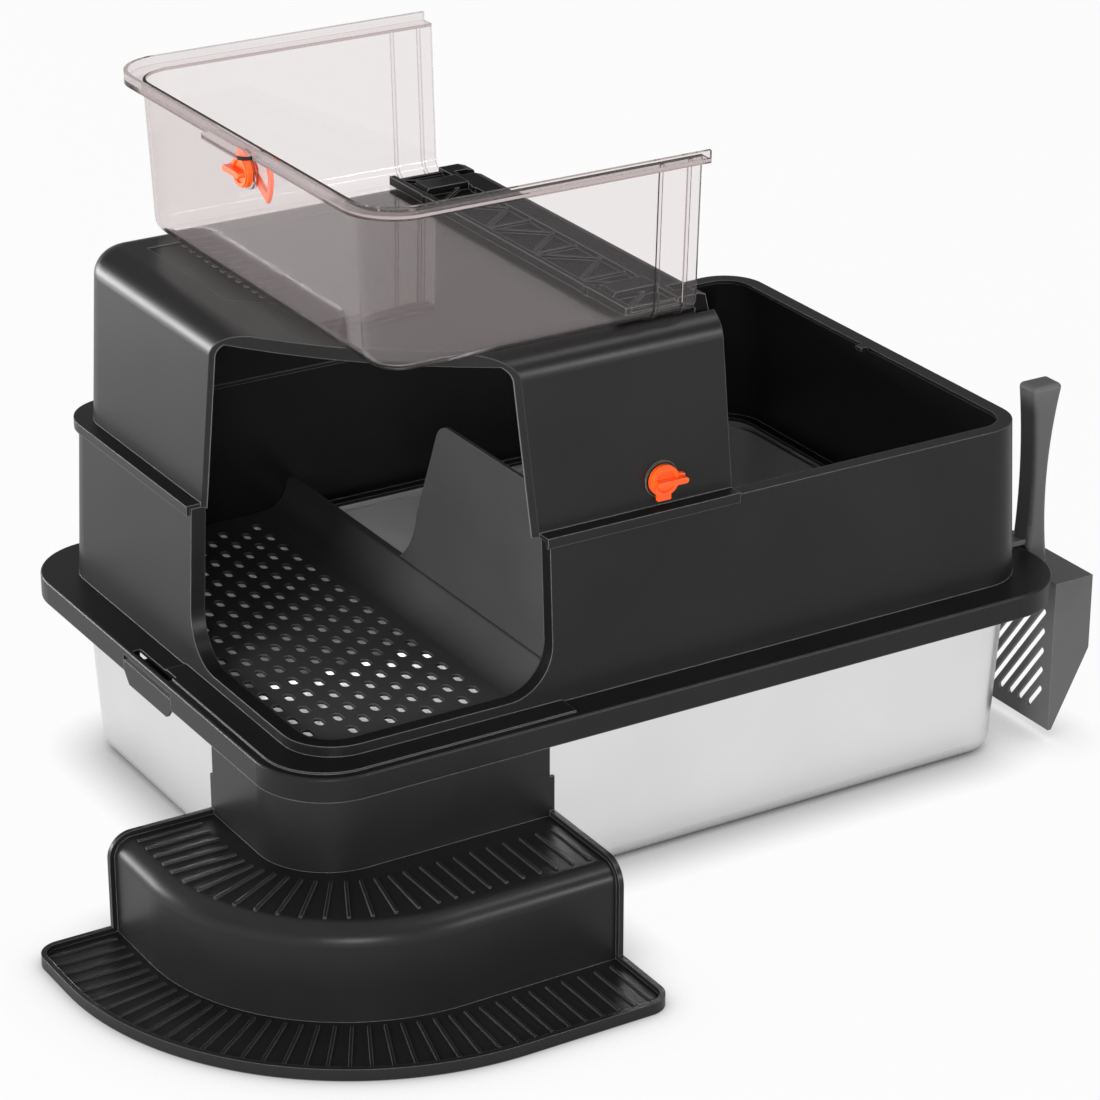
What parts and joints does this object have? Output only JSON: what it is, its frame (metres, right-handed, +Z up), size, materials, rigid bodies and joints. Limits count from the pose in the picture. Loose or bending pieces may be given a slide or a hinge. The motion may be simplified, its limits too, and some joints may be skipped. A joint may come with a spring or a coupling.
{
  "type": "stainless steel litter box",
  "caption": "Stainless steel cat litter pan under a black frame with corner entry, perforated platform, hood, clear flip lid, corner steps and hanging scoop",
  "frame": {"origin": "centre of the pan's flat underside, on the floor", "axes": "+X from the entry and hood end to the open end with the scoop, +Y to the long side away from the entry, +Z up"},
  "size_m": [0.8855, 0.641, 0.5581],
  "materials": {
    "stainless_steel": "satin brushed sheet",
    "black_plastic": "fine satin moulded texture",
    "step_plastic": "fine satin moulded texture",
    "scoop_plastic": "fine satin moulded texture",
    "strip_plastic": "fine satin moulded texture",
    "clip_plastic": "fine satin moulded texture",
    "smoked_clear": "clear smoked moulded plastic",
    "orange_plastic": "semi-gloss moulded plastic",
    "pin_steel": "plain drawn wire",
    "screw_steel": "plated screw"
  },
  "bodies": {
    "box": {"steel_pan": "stainless_steel", "base_frame": "black_plastic", "entry_platform": "black_plastic", "entry_partition": "black_plastic", "hood": "black_plastic", "corner_steps": "step_plastic", "rim_clip_pin_front": "pin_steel", "rim_clip_pin_rear": "pin_steel"},
    "lid": {"lid": "smoked_clear", "hinge_strip": "strip_plastic", "hinge_pin_near": "pin_steel", "hinge_pin_far": "pin_steel", "strip_screws": "screw_steel"},
    "lid_lock": {"lid_knob": "orange_plastic", "lid_pawl": "orange_plastic", "lid_lock_screw": "screw_steel"},
    "hood_near_lock": {"hood_near_knob": "orange_plastic", "hood_near_pawl": "orange_plastic", "hood_near_lock_screw": "screw_steel"},
    "hood_far_lock": {"hood_far_knob": "orange_plastic", "hood_far_pawl": "orange_plastic", "hood_far_lock_screw": "screw_steel"},
    "rim_clip_front": {"rim_clip_front": "clip_plastic"},
    "rim_clip_rear": {"rim_clip_rear": "clip_plastic"},
    "scoop": {"scoop": "scoop_plastic"}
  },
  "joints": [
    {"name": "lid_flip", "type": "hinge", "parent": "box", "child": "lid", "pos_m": [0.028, 0, 0.418], "axis": [0, 1, 0], "range_deg": [0, 180]},
    {"name": "lid_lock_turn", "type": "hinge", "parent": "lid", "child": "lid_lock", "pos_m": [-0.253, 0, 0.529], "axis": [-1, 0, 0], "range_deg": [0, 90]},
    {"name": "hood_near_lock_turn", "type": "hinge", "parent": "box", "child": "hood_near_lock", "pos_m": [-0.019, -0.1968, 0.307], "axis": [0, -1, 0], "range_deg": [-90, 0]},
    {"name": "hood_far_lock_turn", "type": "hinge", "parent": "box", "child": "hood_far_lock", "pos_m": [-0.019, 0.1968, 0.307], "axis": [0, 1, 0], "range_deg": [-90, 0]},
    {"name": "rim_clip_front_swing", "type": "hinge", "parent": "box", "child": "rim_clip_front", "pos_m": [-0.3435, 0, 0.1478], "axis": [0, 1, 0], "range_deg": [0, 25]},
    {"name": "rim_clip_rear_swing", "type": "hinge", "parent": "box", "child": "rim_clip_rear", "pos_m": [0.3435, 0, 0.1478], "axis": [0, -1, 0], "range_deg": [0, 25]},
    {"name": "scoop_lift", "type": "slide", "parent": "box", "child": "scoop", "axis": [0, 0, 1], "range_m": [0, 0.12]}
  ]
}
